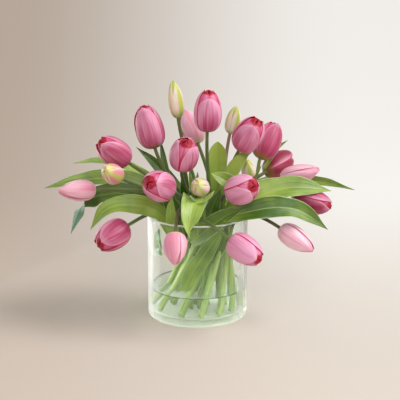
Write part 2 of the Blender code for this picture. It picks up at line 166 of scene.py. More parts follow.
@dataclass(frozen=True)
class Wire:
    """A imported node's welded points, and the edges between them."""

    points: np.ndarray
    edges: np.ndarray

    @classmethod
    def of(cls, node: bpy.types.Object) -> "Wire":
        """Welds a copy of the node's loose triangles and reads it."""
        shape = bmesh.new()
        shape.from_mesh(node.data)
        bmesh.ops.remove_doubles(shape, verts=shape.verts, dist=WELD)
        shape.verts.index_update()
        points = np.array([vertex.co for vertex in shape.verts], float)
        edges = np.array([[vertex.index for vertex in edge.verts] for edge in shape.edges])
        shape.free()
        return cls(points, edges)

    def distances(self, start: int) -> np.ndarray:
        """How far each point is from one of them, along the edges."""
        lengths = np.linalg.norm(np.diff(self.points[self.edges], axis=1)[:, 0], axis=1)
        far = np.full(len(self.points), np.inf)
        far[start] = 0.0
        while True:
            before = far.copy()
            for a, b in ((0, 1), (1, 0)):
                np.minimum.at(far, self.edges[:, b], far[self.edges[:, a]] + lengths)
            if np.array_equal(before, far):
                return far

    def crossings(self, level: np.ndarray) -> np.ndarray:
        """Where the edges pass through zero of a value held at each point."""
        first, second = level[self.edges[:, 0]], level[self.edges[:, 1]]
        crossing = (first < 0.0) != (second < 0.0)
        share = (first / np.where(crossing, first - second, 1.0))[crossing, None]
        ends = self.points[self.edges[crossing]]
        return ends[:, 0] + share * (ends[:, 1] - ends[:, 0])

    def cut(self, centre: np.ndarray, facing: np.ndarray, reach: float) -> np.ndarray:
        """Where a plane cuts the edges, no further than reach from its centre."""
        found = self.crossings((self.points - centre) @ facing)
        return found[np.linalg.norm(found - centre, axis=1) < reach]

    def course(self, count: int, reach: float, flat: bool) -> Course:
        """Reads sections along the piece, from one of its ends to the other.

        Args:
            count: How many sections.
            reach: More than half of the widest section.
            flat: Whether it is a leaf, whose sections are wide and thin, or a round stem.

        Returns:
            The sections. A leaf's run from its wide end to its narrow one.
        """
        near = self.distances(int(np.argmax(self.distances(0))))
        far = self.distances(int(np.argmax(near)))
        share = near / (near + far)
        levels = np.linspace(0.02, 0.98, count)
        centres = np.array([self.crossings(share - level).mean(axis=0) for level in levels])
        for _ in range(3):
            facing = unit(np.gradient(smoothed(centres, 2), axis=0))
            sections = [self.section(*pair, reach, flat) for pair in zip(centres, facing)]
            centres = np.array([section[0] for section in sections])
        across = np.array([section[1] for section in sections])
        half = np.array([section[2] for section in sections])
        if flat and half[: count // 5].mean() < half[-count // 5 :].mean():
            centres, across, half, facing = centres[::-1], across[::-1], half[::-1], -facing[::-1]
        for row in range(1, count):
            across[row] *= 1.0 if across[row] @ across[row - 1] >= 0.0 else -1.0
        up = unit(np.cross(across, facing))
        rising = np.array([section[3] for section in sections])
        if flat and np.einsum("ij,ij->i", up, rising).sum() < 0.0:
            across, up = -across, -up
        return Course(centres, across, up, half)

    def section(
        self, centre: np.ndarray, facing: np.ndarray, reach: float, flat: bool
    ) -> tuple[np.ndarray, np.ndarray, float, np.ndarray]:
        """One section's middle, its direction across, its half width and its rise.

        The rise points from a leaf's middle to its raised edges.
        """
        found = self.cut(centre, facing, reach)
        if len(found) < 3:
            return centre, np.cross(facing, (0.0, 0.0, 1.0)), 0.0, np.zeros(3)
        middle = found.mean(axis=0)
        axes = np.linalg.svd(found - middle)[2]
        if not flat:
            return middle, axes[0], float(np.linalg.norm(found - middle, axis=1).max()), axes[1]
        reached = (found - middle) @ axes[0]
        half = (reached.max() - reached.min()) / 2.0
        middle = middle + axes[0] * (reached.max() + reached.min()) / 2.0
        reached = (found - middle) @ axes[0]
        rim = found[np.abs(reached) > 0.8 * half].mean(axis=0)
        heart = found[np.abs(reached) < 0.4 * half]
        heart = heart.mean(axis=0) if len(heart) else middle
        height = (heart - middle) @ axes[1]
        return middle + height * axes[1], axes[0], float(half), rim - heart


@dataclass(frozen=True)
class Seat:
    """Where a bloom sits: its base, the way it points, its length and half its girth."""

    base: np.ndarray
    axis: np.ndarray
    length: float
    radius: float

    @classmethod
    def of(cls, node: bpy.types.Object, stem: np.ndarray) -> "Seat":
        """Reads the seat from a bloom's node, which is turned on its axis.

        Args:
            node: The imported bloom.
            stem: The points of its stem, whose neck is at the bloom's base.

        Returns:
            The seat.
        """
        points = Wire.of(node).points
        middle = points.mean(axis=0)
        spread, axes = np.linalg.eigh(np.cov((points - middle).T))
        # The two spreads across the axis are equal, so the axis is the one that differs.
        axis = axes[:, 2 if spread[2] - spread[1] > spread[1] - spread[0] else 0]
        nearest = stem[np.linalg.norm(stem - middle, axis=1).argmin()]
        axis = axis if (nearest - middle) @ axis < 0.0 else -axis
        reached = (points - middle) @ axis
        radius = np.linalg.norm(points - middle - reached[:, None] * axis, axis=1).max()
        base = middle + reached.min() * axis
        return cls(base, axis, float(reached.max() - reached.min()), float(radius))

    def sides(self) -> tuple[np.ndarray, np.ndarray]:
        """Two unit vectors square to the axis. The first is the one that looks at the viewer most."""
        front = np.array((0.0, -1.0, 0.0))
        first = unit(front - (front @ self.axis) * self.axis)
        return first, np.cross(self.axis, first)


def smooth_line(points: tuple[Point, ...], count: int) -> np.ndarray:
    """A smooth curve through a few points, with its own points spread evenly.

    Args:
        points: The points that it passes through, in millimetres.
        count: How many points it has.

    Returns:
        The curve's points in metres.
    """
    through = np.array(points, float) * MM
    ends = np.vstack((2 * through[0] - through[1], through, 2 * through[-1] - through[-2]))
    t = np.linspace(0.0, 1.0, 16)[:, None]
    spans = []
    for a, b, c, d in zip(ends, ends[1:], ends[2:], ends[3:]):
        spans.append(0.5 * (2 * b + (c - a) * t + (2 * a - 5 * b + 4 * c - d) * t**2
                            + (3 * b - a - 3 * c + d) * t**3))
    line = np.vstack(spans)
    along = np.concatenate(([0.0], np.cumsum(np.linalg.norm(np.diff(line, axis=0), axis=1))))
    return between(np.linspace(0.0, along[-1], count), along, line)


# --- Making and dressing pieces ---


def add_sheet(shape: bmesh.types.BMesh, places: np.ndarray, skin: np.ndarray) -> None:
    """Adds one grid to a mesh and lays it on its places.

    Args:
        shape: The mesh that the grid joins.
        places: Where each grid point goes, as rows of points across the sheet.
        skin: What each grid point's skin attribute says.
    """
    rows, columns = places.shape[:2]
    layer = shape.verts.layers.float_vector.get("skin") or shape.verts.layers.float_vector.new("skin")
    made = bmesh.ops.create_grid(shape, x_segments=columns - 1, y_segments=rows - 1, size=1.0)
    for vertex in made["verts"]:
        column = round((vertex.co.x + 1.0) / 2.0 * (columns - 1))
        row = round((vertex.co.y + 1.0) / 2.0 * (rows - 1))
        vertex.co = Vector(places[row, column])
        vertex[layer] = Vector(skin[row, column])


def placed(name: str, data: bpy.types.ID) -> bpy.types.Object:
    """Makes an object of a mesh, a light or a camera, and puts it in the scene."""
    made = bpy.data.objects.new(name, data)
    bpy.context.scene.collection.objects.link(made)
    return made


def shown(shape: bmesh.types.BMesh, name: str, materials: list[Material]) -> bpy.types.Object:
    """Turns a mesh, which is freed, into an object in the scene that wears the first material."""
    mesh = bpy.data.meshes.new(name)
    shape.to_mesh(mesh)
    shape.free()
    for material in materials:
        mesh.materials.append(material)
    return placed(name, mesh)


def finished(shape: bmesh.types.BMesh, name: str, finishes: tuple["Finish", ...]) -> bpy.types.Object:
    """Turns a mesh into a smooth-shaded piece that rides on the object.

    Args:
        shape: The mesh, which is freed.
        name: The piece's name.
        finishes: Its finishes, the first of which it wears.

    Returns:
        The piece.
    """
    piece = shown(shape, name, [wearing(finish) for finish in finishes])
    piece.data.shade_smooth()
    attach(piece, "root")
    return piece


def thicken(piece: bpy.types.Object, thickness: float) -> None:
    """Gives a sheet its thickness and a soft edge. Its under side and its rim wear its second material.

    Args:
        piece: The sheet.
        thickness: How thick it becomes, half on each side.
    """
    shell = piece.modifiers.new("thickness", "SOLIDIFY")
    shell.thickness = thickness
    shell.offset = 0.0
    shell.material_offset = shell.material_offset_rim = 1
    soft = piece.modifiers.new("soft_edge", "SUBSURF")
    soft.levels = soft.render_levels = 1


class Recipe:
    """Builds one material, node by node."""

    def __init__(self, name: str) -> None:
        """Starts with a Principled shader."""
        self.material = bpy.data.materials.new(name)
        self.material.use_nodes = True
        self.tree = self.material.node_tree
        self.shader = self.tree.nodes["Principled BSDF"]

    def node(self, kind: str, inputs: dict[int | str, object], **settings: object) -> bpy.types.Node:
        """Adds a node.

        Args:
            kind: The node's type, without its ShaderNode.
            inputs: What each input takes: a number, a colour or another node's socket.
            settings: The node's own properties.

        Returns:
            The node.
        """
        made = self.tree.nodes.new("ShaderNode" + kind)
        for key, value in settings.items():
            setattr(made, key, value)
        for key, value in inputs.items():
            if isinstance(value, Socket):
                self.tree.links.new(value, made.inputs[key])
            else:
                made.inputs[key].default_value = value
        return made

    def maths(self, operation: str, *values: object) -> Socket:
        """The result of one sum on numbers or sockets."""
        return self.node("Math", dict(enumerate(values)), operation=operation).outputs[0]

    def skin(self) -> list[Socket]:
        """The three numbers of the skin attribute."""
        read = self.node("Attribute", {}, attribute_name="skin")
        parts = self.node("SeparateXYZ", {0: read.outputs["Vector"]})
        return [parts.outputs[i] for i in range(3)]

    def vector(self, *values: object) -> Socket:
        """A vector from three numbers or sockets."""
        return self.node("CombineXYZ", dict(enumerate(values))).outputs[0]

    def noise(self, place: Socket, scale: float, detail: float) -> Socket:
        """A soft noise around 0.5, read at a place."""
        made = self.node("TexNoise", {"Vector": place, "Scale": scale, "Detail": detail})
        return made.outputs["Fac"]

    def streaks(
        self, across: Socket, along: Socket, tone: Socket, count: float, scale: float = 1.0,
        detail: float = 3.0,
    ) -> Socket:
        """A noise drawn out along a sheet, in more streaks across it the higher the count."""
        return self.noise(self.vector(self.maths("MULTIPLY", across, count), along, tone), scale, detail)

    def span(self, value: object, low: float, high: float) -> Socket:
        """A number that rises smoothly from 0 at low to 1 at high."""
        made = self.node(
            "MapRange", {"Value": value, "From Min": low, "From Max": high},
            interpolation_type="SMOOTHSTEP",
        )
        return made.outputs["Result"]

    def blend(self, share: object, first: object, second: object) -> Socket:
        """A colour between two, by a share."""
        made = self.node("Mix", {0: share, 6: first, 7: second}, data_type="RGBA")
        return made.outputs[2]

    def colour(self, socket: Socket) -> None:
        """Makes the socket the surface's colour."""
        self.tree.links.new(socket, self.shader.inputs["Base Color"])

    def relief(self, height: Socket, strength: float, depth: float) -> None:
        """Raises the surface by a height."""
        bump = self.node("Bump", {"Height": height, "Strength": strength, "Distance": depth})
        self.tree.links.new(bump.outputs["Normal"], self.shader.inputs["Normal"])

    def set(self, **values: object) -> None:
        """Sets the shader's own sockets. An underscore in a name stands for a space."""
        for key, value in values.items():
            self.shader.inputs[key.replace("_", " ")].default_value = value


class Finish(Protocol):
    """What a piece can wear."""

    def material(self) -> Material:
        """Builds the finish."""


@cache
def wearing(finish: Finish) -> Material:
    """The finish's material, which is made the first time that it is asked for."""
    return finish.material()


@dataclass(frozen=True)
class PetalFinish:
    """The outside of a petal. Its depth of colour is what its tone has after the point.

    Attributes:
        name: The material's name.
        light: The colour of a light streak.
        deep: The colour of a deep streak, and of the petal's middle and foot.
        dusk: The colour that the deepest blooms turn to.
        margin: The colour beside the edge.
        edge: The colour of the very edge.
        foot: The colour where the petal meets the stem.
        foot_to: How far up the foot's colour goes.
        rib: The colour of the midrib.
        rib_width: Half the midrib's width, as a share of half the petal's.
        rib_share: How strong the midrib is.
        top: The colour of the petal's top.
        top_from: Where the top's colour starts.
        top_span: Over how much of its length the top's colour comes in.
        top_share: How strong the top's colour is.
        edge_from: Where the edge's colour starts, as a share of half the petal's width.
    """

    name: str
    light: Colour
    deep: Colour
    dusk: Colour
    margin: Colour
    edge: Colour
    foot: Colour
    foot_to: float
    rib: Colour
    rib_width: float
    rib_share: float
    top: Colour
    top_from: float
    top_span: float
    top_share: float
    edge_from: float

    def material(self) -> Material:
        """Builds the finish."""
        make = Recipe(self.name)
        across, along, tone = make.skin()
        away = make.maths("ABSOLUTE", across)
        fine = make.streaks(across, along, tone, 11.0)
        broad = make.streaks(across, along, tone, 1.6, 1.3, 1.0)
        streak = make.maths("MULTIPLY", make.span(fine, 0.25, 0.75), 0.3)
        share = make.maths("MULTIPLY_ADD", make.span(broad, 0.3, 0.7), 0.3, streak)
        depth = make.maths("FRACT", tone)
        share = make.maths("MULTIPLY_ADD", depth, 0.7, share)
        share = make.maths("MULTIPLY_ADD", make.span(along, 0.85, 0.1), 0.2, share)
        share = make.maths("MULTIPLY_ADD", make.span(away, 0.8, 0.0), 0.1, share)
        body = make.blend(make.span(share, 0.2, 1.2), shade(*self.light), shade(*self.deep))
        body = make.blend(make.maths("MULTIPLY", make.span(depth, 0.6, 1.0), 0.8), body, shade(*self.dusk))
        # On the outer pink petals this pale band, and the pale top below, are partly painted highlight.
        beside = make.maths("MULTIPLY", make.span(away, 0.6, 0.95), 0.6)
        body = make.blend(beside, body, shade(*self.margin))
        rib = make.maths("MULTIPLY", make.span(away, self.rib_width, self.rib_width * 0.2), self.rib_share)
        body = make.blend(rib, body, shade(*self.rib))
        wavering = make.maths("MULTIPLY_ADD", broad, self.top_span, along)
        top = make.span(wavering, self.top_from, self.top_from + self.top_span)
        body = make.blend(make.maths("MULTIPLY", top, self.top_share), body, shade(*self.top))
        body = make.blend(make.span(along, self.foot_to, 0.0), body, shade(*self.foot))
        wander = make.maths("MULTIPLY_ADD", fine, 0.03, away)
        body = make.blend(make.span(wander, self.edge_from, self.edge_from + 0.04), body, shade(*self.edge))
        make.colour(body)
        make.relief(fine, 0.3, 0.0005)
        make.set(Roughness=0.42, Sheen_Weight=0.06, Sheen_Roughness=0.45, Subsurface_Weight=0.1,
                 Subsurface_Scale=0.004, Specular_IOR_Level=0.32)
        return make.material


@dataclass(frozen=True)
class LiningFinish:
    """The inside of a petal, with its rim. It is deeper in the throat."""

    name: str
    light: Colour
    deep: Colour

    def material(self) -> Material:
        """Builds the finish."""
        make = Recipe(self.name)
        across, along, tone = make.skin()
        fine = make.streaks(across, along, tone, 11.0)
        body = make.blend(make.span(fine, 0.3, 0.75), shade(*self.light), shade(*self.deep))
        body = make.blend(make.span(along, 0.75, 0.2), body, shade(*self.deep))
        make.colour(body)
        make.relief(fine, 0.3, 0.0005)
        make.set(Roughness=0.4, Sheen_Weight=0.1, Specular_IOR_Level=0.35)
        return make.material


@dataclass(frozen=True)
class LeafFinish:
    """One side of a leaf: parallel veins that meet at its tip, on a green that its tone sets."""

    name: str
    dark: Colour
    light: Colour
    margin: Colour
    veins: float
    roughness: float

    def material(self) -> Material:
        """Builds the finish."""
        make = Recipe(self.name)
        across, along, tone = make.skin()
        fine = make.streaks(across, make.maths("MULTIPLY", along, 1.5), tone, self.veins, 1.0, 2.0)
        patch = make.node("TexCoord", {}).outputs["Object"]
        cloud = make.noise(patch, 22.0, 2.0)
        share = make.maths("ADD", tone, make.maths("MULTIPLY", make.maths("SUBTRACT", fine, 0.5), 0.85))
        share = make.maths("ADD", share, make.maths("MULTIPLY", make.maths("SUBTRACT", cloud, 0.5), 0.9))
        share = make.maths("ADD", share, make.maths("MULTIPLY", make.span(along, 0.35, 0.0), 0.35))
        body = make.blend(make.span(share, 0.0, 1.0), shade(*self.dark), shade(*self.light))
        away = make.maths("ABSOLUTE", across)
        rib = make.maths("MULTIPLY", make.span(away, 0.07, 0.0), 0.4)
        body = make.blend(rib, body, shade(*self.light))
        body = make.blend(make.span(away, 0.95, 1.0), body, shade(*self.margin))
        make.colour(body)
        make.relief(fine, 0.4, 0.0008)
        make.set(Roughness=self.roughness, Sheen_Weight=0.04, Subsurface_Weight=0.08,
                 Subsurface_Scale=0.003, Specular_IOR_Level=0.5)
        return make.material


@dataclass(frozen=True)
class StemFinish:
    """A stem's skin: pale at its foot, and olive or brown on its way to the neck."""

    name: str
    foot: Colour
    middle: Colour
    neck: Colour
    fleck: Colour

    def material(self) -> Material:
        """Builds the finish."""
        make = Recipe(self.name)
        round_x, round_y, along = make.skin()
        line = make.vector(round_x, round_y, make.maths("MULTIPLY", along, 1.6))
        fine = make.noise(line, 3.4, 3.0)
        body = make.blend(make.span(along, 0.28, 0.58), shade(*self.foot), shade(*self.middle))
        body = make.blend(make.span(along, 0.55, 0.95), body, shade(*self.neck))
        body = make.blend(make.span(fine, 0.45, 0.8), body, shade(*self.fleck))
        make.colour(body)
        make.relief(fine, 0.25, 0.0006)
        make.set(Roughness=0.42, Sheen_Weight=0.08, Subsurface_Weight=0.1,
                 Subsurface_Scale=0.003, Specular_IOR_Level=0.4)
        return make.material


@dataclass(frozen=True)
class ClearFinish:
    """A clear body that lets lamps through, so that what stands in it isn't in the dark.

    Attributes:
        name: The material's name.
        tint: The colour that it gives to what is seen through it.
        shadow: The colour of its shadow.
        ior: How strongly it bends light.
        ripple: How uneven its surface is.
        painted_light: How much painted light it shows face on: a white that stands in for gleams and
            for light scattered in the body.
        edge_painted_light: How much painted reflection it shows where it is seen edge on.
        painted_light_colour: The colour of the painted light.
    """

    name: str
    tint: Colour
    shadow: Colour
    ior: float
    ripple: float = 0.0
    painted_light: float = 0.0
    edge_painted_light: float = 0.0
    painted_light_colour: Colour = (250, 252, 250)

    # The painted light comes in at a step, where the wall turns away, and then slowly, in upright strands.
    STEP = (0.34, 0.46, 0.6)
    SLOPE = (0.4, 0.95, 0.4)
    STRANDS = (90.0, 90.0, 5.0)
    RIPPLES = 14.0

    def material(self) -> Material:
        """Builds the finish."""
        make = Recipe(self.name)
        make.set(Base_Color=shade(*self.tint), Transmission_Weight=1.0, Roughness=0.0, IOR=self.ior)
        place = make.node("TexCoord", {}).outputs["Object"]
        make.relief(make.noise(place, self.RIPPLES, 1.0), self.ripple, 0.002)
        # Painted light: a white diffuse mixed into the clear body stands in for its gleams and scattered
        # light.
        white = make.node("BsdfDiffuse", {"Color": shade(*self.painted_light_colour)})
        slant = make.node("LayerWeight", {"Blend": 0.5}).outputs["Facing"]
        wall = make.maths("MULTIPLY", make.span(slant, *self.STEP[:2]), self.STEP[2])
        wall = make.maths("MULTIPLY_ADD", make.span(slant, *self.SLOPE[:2]), self.SLOPE[2], wall)
        strand = make.node("VectorMath", {0: place, 1: self.STRANDS}, operation="MULTIPLY").outputs[0]
        wall = make.maths("MULTIPLY", wall, make.maths("ADD", make.noise(strand, 1.0, 2.0), 0.5))
        share = make.maths("MULTIPLY_ADD", wall, self.edge_painted_light, self.painted_light)
        painted_lit = make.node("MixShader", {0: share, 1: make.shader.outputs[0], 2: white.outputs[0]})
        through = make.node("BsdfTransparent", {"Color": shade(*self.shadow)})
        path = make.node("LightPath", {})
        mixed = make.node(
            "MixShader", {0: path.outputs["Is Shadow Ray"], 1: painted_lit.outputs[0], 2: through.outputs[0]}
        )
        output = make.tree.nodes["Material Output"]
        make.tree.links.new(mixed.outputs[0], output.inputs["Surface"])
        return make.material


@dataclass(frozen=True)
class PlainFinish:
    """A small part's skin: two colours clouded together."""

    name: str
    light: Colour
    deep: Colour
    grain: float
    roughness: float

    def material(self) -> Material:
        """Builds the finish."""
        make = Recipe(self.name)
        place = make.node("TexCoord", {}).outputs["Object"]
        cloud = make.noise(place, self.grain, 3.0)
        make.colour(make.blend(make.span(cloud, 0.35, 0.65), shade(*self.light), shade(*self.deep)))
        make.relief(cloud, 0.3, 0.0003)
        make.set(Roughness=self.roughness)
        return make.material


# --- The tulips ---


@dataclass(frozen=True)
class Habit:
    """How one kind of bloom is shaped and finished.

    Attributes:
        slot: A material slot's name, which is not used.
        dome: How round the bloom closes above its belly. A low number closes to a point.
        fall: How soon it starts to close.
        wrap: How far round the bloom a petal reaches each way, in degrees.
        blunt: How broad the petals stay on the way to their tips.
        core: How wide the outer petals leave the bloom open at its top, as a share of its belly.
        inset: How far below the bloom's top the inner petals close, as a share of its length.
        outside: The finish of its outer petals' outsides.
        within: The finish of its inner petals' outsides.
        lining: The finish of every petal's inside.
    """

    slot: str
    dome: float
    fall: float
    wrap: float
    blunt: float
    core: float
    inset: float
    outside: PetalFinish
    within: PetalFinish
    lining: LiningFinish


# The pale top and the pale band beside the edge are partly the petal's own colour, partly painted
# highlight.
PINK = PetalFinish(
    "pink_petal", light=(238, 168, 200), deep=(178, 56, 100), dusk=(140, 34, 54), margin=(234, 160, 192),
    edge=(196, 30, 84), foot=(152, 108, 52), foot_to=0.14, rib=(204, 104, 142), rib_width=0.1,
    rib_share=0.25, top=(240, 188, 212), top_from=0.92, top_span=0.2, top_share=0.5, edge_from=0.93,
)
PINK_WITHIN = PetalFinish(
    "pink_inner_petal", light=(232, 142, 178), deep=(204, 74, 122), dusk=(160, 44, 72),
    margin=(206, 66, 104), edge=(196, 32, 78), foot=(160, 118, 56), foot_to=0.12, rib=(150, 8, 34),
    rib_width=0.12, rib_share=0.3, top=(168, 8, 40), top_from=0.91, top_span=0.05, top_share=1.0,
    edge_from=0.93,
)
PALE_PINK = PetalFinish(
    "pale_pink_petal", light=(255, 210, 224), deep=(238, 150, 176), dusk=(232, 132, 166),
    margin=(252, 208, 222), edge=(222, 104, 140), foot=(240, 206, 180), foot_to=0.12,
    rib=(230, 138, 164), rib_width=0.14, rib_share=0.4, top=(236, 150, 176), top_from=0.85,
    top_span=0.2, top_share=0.5, edge_from=0.955,
)
GREEN_BUD = PetalFinish(
    "green_bud_petal", light=(254, 240, 222), deep=(242, 200, 188), dusk=(240, 180, 172),
    margin=(252, 242, 226), edge=(232, 226, 180), foot=(156, 182, 80), foot_to=0.3,
    rib=(188, 204, 84), rib_width=0.6, rib_share=0.95, top=(206, 216, 104), top_from=0.85,
    top_span=0.2, top_share=0.7, edge_from=0.96,
)
BLUSH_BUD = PetalFinish(
    "blush_bud_petal", light=(244, 216, 214), deep=(236, 160, 172), dusk=(226, 138, 150),
    margin=(246, 236, 222), edge=(244, 232, 216), foot=(160, 186, 70), foot_to=0.5,
    rib=(190, 206, 88), rib_width=0.42, rib_share=0.85, top=(222, 224, 140), top_from=0.84,
    top_span=0.2, top_share=0.7, edge_from=0.95,
)


class Kind(Enum):
    """The kinds of bloom."""

    OPEN = Habit(
        "petal", dome=0.68, fall=2.4, wrap=66.0, blunt=7.0, core=0.08, inset=0.02, outside=PINK,
        within=PINK_WITHIN,
        # Partly painted light: the lining is lighter than its own crimson, for the light coming through the
        # petals.
        lining=LiningFinish("petal_lining", light=(240, 52, 104), deep=(222, 26, 74)),
    )
    PALE = Habit(
        "pale_petal", dome=0.86, fall=1.9, wrap=64.0, blunt=4.5, core=0.04, inset=0.02, outside=PALE_PINK,
        within=PALE_PINK,
        lining=LiningFinish("pale_petal_lining", light=(226, 128, 152), deep=(206, 90, 122)),
    )
    BUD = Habit(
        "green_bud", dome=0.8, fall=2.0, wrap=64.0, blunt=4.5, core=0.04, inset=0.02, outside=GREEN_BUD,
        within=GREEN_BUD,
        lining=LiningFinish("green_bud_lining", light=(228, 222, 176), deep=(196, 204, 128)),
    )
    BLUSH = Habit(
        "green_bud", dome=0.8, fall=2.0, wrap=66.0, blunt=4.5, core=0.04, inset=0.02, outside=BLUSH_BUD,
        within=BLUSH_BUD,
        lining=LiningFinish("blush_bud_lining", light=(240, 214, 190), deep=(226, 170, 160)),
    )


class Ground(Enum):
    """The colours of stem."""

    GREEN = StemFinish(
        "green_stem", foot=(184, 208, 128), middle=(142, 172, 86), neck=(114, 128, 74),
        fleck=(122, 154, 64),
    )
    BROWN = StemFinish(
        "brown_stem", foot=(170, 196, 112), middle=(126, 134, 78), neck=(120, 106, 72),
        fleck=(106, 118, 58),
    )
    ROSY = StemFinish(
        "rosy_stem", foot=(190, 206, 148), middle=(168, 156, 116), neck=(190, 146, 132),
        fleck=(172, 132, 114),
    )


@dataclass(frozen=True)
class Tulip:
    """One tulip: its bloom, petal by petal, and its stem.

    Attributes:
        number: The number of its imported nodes.
        kind: What its bloom is like.
        roll: How far the bloom is turned on its axis, in degrees.
        show: How far below the bloom's top the outer petals end, as a share of its length.
        depth: How deep its colour is, from 0 to 1.
        lean: How much further down those on the viewer's side end.
        ground: The colour of its stem.
        loose: Which of its petals stands away, and by how much of its radius.
    """

    number: int
    kind: Kind
    roll: float = 0.0
    show: float = 0.02
    depth: float = 0.5
    lean: float = 0.0
    ground: Ground = Ground.GREEN
    loose: tuple[int, float] = (0, 0.0)

    COLUMNS = 13
    ROWS = 21
    BELLY = 0.38
    NECK_SHARE = 0.12
    INNER_BLUNT = 26.0
    INNER_CORE = 0.02
    INNER_GIRTH = 0.95
    PETAL_THICKNESS = 0.0008
    STEM_SECTIONS = 60
    STEM_REACH = 0.012
    STEM_SIDES = 14
    STEM_STEP = 0.0028
    STEM_CUT = 0.5
    STEM_SINK = 0.0012
    NECK_SWELL = 1.08

    def build(self, nodes: dict[str, bpy.types.Object]) -> None:
        """Builds the bloom and the stem.

        Args:
            nodes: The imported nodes.
        """
        name = f"tulip_{self.number:02d}"
        stem_wire = Wire.of(nodes[f"stem_{self.number:02d}"])
        seat = Seat.of(nodes[f"bloom_{self.number:02d}"], stem_wire.points)
        chance = np.random.default_rng(SEED + self.number)
        habit = self.kind.value
        layers = (("outer_petals", False, habit.outside), ("inner_petals", True, habit.within))
        for place, inner, outside in layers:
            shape = bmesh.new()
            for turn in range(3):
                index = 2 * turn + inner
                add_sheet(shape, *self.petal(seat, index, inner, chance))
            piece = finished(shape, f"{name}_{place}", (outside, habit.lining))
            thicken(piece, self.PETAL_THICKNESS)
            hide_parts(f"bloom_{self.number:02d}")
        if self.kind is Kind.OPEN:
            Heart(seat).build(name)
        self.build_stem(name, stem_wire, seat)
        LOG.info("%s: bloom %.0f mm long", name, seat.length / MM)

    def petal(
        self, seat: Seat, index: int, inner: bool, chance: np.random.Generator
    ) -> tuple[np.ndarray, np.ndarray]:
        """One petal's grid.

        Args:
            seat: Where the bloom sits.
            index: Which of the six petals it is, going round. Odd ones are the inner three.
            inner: Whether it is an inner petal.
            chance: Where its small irregularities come from.

        Returns:
            Its places and its skin.
        """
        habit = self.kind.value
        turn = np.radians(self.roll + 60.0 * index + chance.uniform(-5.0, 5.0))
        t = np.linspace(0.0, 1.0, self.ROWS)
        height = (t - 0.6 * np.sin(2.0 * np.pi * t) / (2.0 * np.pi))[:, None]
        side = np.linspace(-1.0, 1.0, self.COLUMNS)[None, :]
        short = habit.inset if inner else self.show + self.lean * max(0.0, math.cos(turn)) ** 2
        rise = height * (1.0 - short - chance.uniform(0.0, 0.015))
        rising = np.sin(0.5 * np.pi * np.minimum(rise / self.BELLY, 1.0) ** 0.5)
        closing = np.clip(((height if inner else rise) - self.BELLY) / (1.0 - self.BELLY), 0.0, 1.0)
        core = self.INNER_CORE if inner else habit.core
        falling = core + (1.0 - core) * (1.0 - closing**habit.fall) ** habit.dome
        radius = np.where(rise < self.BELLY, self.NECK_SHARE + (1.0 - self.NECK_SHARE) * rising, falling)
        radius = radius * (self.INNER_GIRTH if inner else 1.0)
        # Each margin lies over its neighbour's on one side and under it on the other, and wanders.
        phase, swing, curl = chance.uniform(0.0, 6.28), chance.uniform(0.6, 1.2), chance.uniform(-0.3, 1.0)
        radius = radius + 0.025 * side * np.minimum(1.0, 3.0 * height)
        radius = radius + 0.02 * swing * np.sin(9.0 * height + phase + 1.3 * side) * side**2 * height
        radius = radius - 0.02 * np.exp(-((side / 0.14) ** 2)) * np.sin(np.pi * height)
        radius = radius + (0.0 if inner else 0.03) * curl * np.clip((height - 0.85) / 0.15, 0.0, 1.0) ** 2
        if self.loose[1] and index == self.loose[0]:
            radius = radius + self.loose[1] * height**1.5
        blunt = self.INNER_BLUNT if inner else habit.blunt
        reach = np.radians(habit.wrap + (5.0 if inner else 0.0)) * (1.0 - height**blunt) ** 0.5
        reach = np.maximum(reach, np.radians(2.0))
        lean = np.radians(chance.uniform(-4.0, 4.0)) * height
        angle = turn + side * reach + lean
        tall = (rise - 0.03 * side**2 * height**4) * seat.length
        tall = tall + 0.008 * seat.length * np.sin(11.0 * side + phase) * height**10
        first, second = seat.sides()
        out = (radius * seat.radius)[..., None]
        places = seat.base + out * (np.cos(angle)[..., None] * first + np.sin(angle)[..., None] * second)
        places = places + np.broadcast_to(tall, angle.shape)[..., None] * seat.axis
        tone = chance.integers(0, 9) + np.clip(self.depth + chance.uniform(-0.12, 0.12), 0.02, 0.98)
        skin = np.stack(np.broadcast_arrays(side, height, tone), axis=-1)
        return places, skin

    def build_stem(self, name: str, wire: Wire, seat: Seat) -> None:
        """Builds the stem as one skin round its course, with a slanting cut at its foot.

        Args:
            name: The tulip's name.
            wire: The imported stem.
            seat: The bloom's seat, which the stem grows into.
        """
        course = wire.course(self.STEM_SECTIONS, self.STEM_REACH, False)
        if np.linalg.norm(course.centres[0] - seat.base) < np.linalg.norm(course.centres[-1] - seat.base):
            course = Course(course.centres[::-1], course.across[::-1], course.up[::-1], course.half[::-1])
        centres = smoothed(course.centres, 6)
        half = smoothed(course.half[:, None], 30)
        start = 2.0 * centres[0] - centres[1]
        centres = np.vstack((start, centres, seat.base + self.STEM_SINK * seat.axis))
        half = np.vstack((half[:1], half, half[-1:] * self.NECK_SWELL))
        line = Course(centres, centres, centres, half[:, 0])
        count = max(12, round(line.along[-1] / self.STEM_STEP))
        stations = np.linspace(0.0, line.along[-1], count)
        points = smoothed(between(stations, line.along, centres), 4)
        radii = between(stations, line.along, half)[:, 0]
        shape = bmesh.new()
        add_tube(shape, points, radii, self.STEM_SIDES, slant=self.STEM_CUT)
        piece = finished(shape, f"{name}_stem", (self.ground.value,))
        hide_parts(f"stem_{self.number:02d}")


